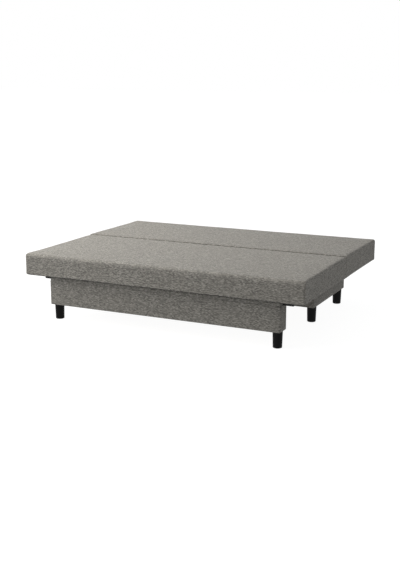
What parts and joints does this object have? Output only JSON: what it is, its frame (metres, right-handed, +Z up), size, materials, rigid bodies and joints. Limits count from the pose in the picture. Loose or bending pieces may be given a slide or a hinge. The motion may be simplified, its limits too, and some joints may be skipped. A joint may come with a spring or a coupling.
{
  "type": "futon sofa bed",
  "caption": "Upholstered futon sofa bed, pulled out flat: a seat half on an apron with legs slides on runners from a base, and a back half folds up on hinges.",
  "frame": {"origin": "on the floor below the middle of the bed in its flat position", "axes": "+X along the bed, +Y from the seat half towards the back half, +Z up"},
  "size_m": [2, 1.53, 0.4561],
  "materials": {
    "cushion_cloth": "matte",
    "wrapped_board": "matte",
    "black_leg": "satin",
    "raw_timber": "matte",
    "birch_slat": "satin",
    "black_steel": "satin",
    "zinc_steel": "satin",
    "black_felt": "matte"
  },
  "bodies": {
    "base": {"base_block_front_left": "raw_timber", "base_block_front_right": "raw_timber", "base_block_rear_left": "raw_timber", "base_block_rear_right": "raw_timber", "base_centre_beam": "raw_timber", "base_front_board": "wrapped_board", "base_left_board": "wrapped_board", "base_leg_front_left": "black_leg", "base_leg_front_right": "black_leg", "base_leg_rear_left": "black_leg", "base_leg_rear_right": "black_leg", "base_rear_board": "wrapped_board", "base_right_board": "wrapped_board", "runner_fixed_left": "zinc_steel", "runner_fixed_right": "zinc_steel", "wear_strip_centre": "black_felt", "wear_strip_left": "black_felt", "wear_strip_rear": "black_felt", "wear_strip_right": "black_felt"},
    "middle_runner_left": {"runner_middle_left": "zinc_steel"},
    "middle_runner_right": {"runner_middle_right": "zinc_steel"},
    "seat": {"apron_bottom_board": "wrapped_board", "apron_front_board": "wrapped_board", "apron_left_block": "raw_timber", "apron_leg_left": "black_leg", "apron_leg_right": "black_leg", "apron_rear_board": "wrapped_board", "apron_right_block": "raw_timber", "apron_top_board": "wrapped_board", "hinge_arm_left": "black_steel", "hinge_arm_right": "black_steel", "hinge_pin_left": "zinc_steel", "hinge_pin_right": "zinc_steel", "runner_moving_left": "zinc_steel", "runner_moving_right": "zinc_steel", "seat_batten_left": "raw_timber", "seat_batten_right": "raw_timber", "seat_cushion": "cushion_cloth", "seat_slat_1": "birch_slat", "seat_slat_2": "birch_slat", "seat_slat_3": "birch_slat", "seat_slat_4": "birch_slat", "seat_slat_5": "birch_slat", "seat_tube_front": "black_steel", "seat_tube_left": "black_steel", "seat_tube_rear": "black_steel", "seat_tube_right": "black_steel"},
    "back": {"back_cushion": "cushion_cloth", "back_slat_1": "birch_slat", "back_slat_2": "birch_slat", "back_slat_3": "birch_slat", "back_slat_4": "birch_slat", "back_slat_5": "birch_slat", "back_tube_front": "black_steel", "back_tube_left": "black_steel", "back_tube_rear": "black_steel", "back_tube_right": "black_steel", "hinge_plate_left": "black_steel", "hinge_plate_right": "black_steel"}
  },
  "joints": [
    {"name": "seat_slide", "type": "slide", "parent": "base", "child": "seat", "axis": [0, 1, 0], "range_m": [0, 0.55]},
    {"name": "runner_left_slide", "type": "slide", "parent": "base", "child": "middle_runner_left", "axis": [0, 1, 0], "range_m": [0, 0.275]},
    {"name": "runner_right_slide", "type": "slide", "parent": "base", "child": "middle_runner_right", "axis": [0, 1, 0], "range_m": [0, 0.275]},
    {"name": "back_fold", "type": "hinge", "parent": "seat", "child": "back", "pos_m": [0, 0.101, 0.4141], "axis": [1, 0, 0], "range_deg": [0, 80]}
  ],
  "couplings": [
    {"joint": "runner_left_slide", "follows": "seat_slide", "ratio": 0.5},
    {"joint": "runner_right_slide", "follows": "seat_slide", "ratio": 0.5}
  ]
}
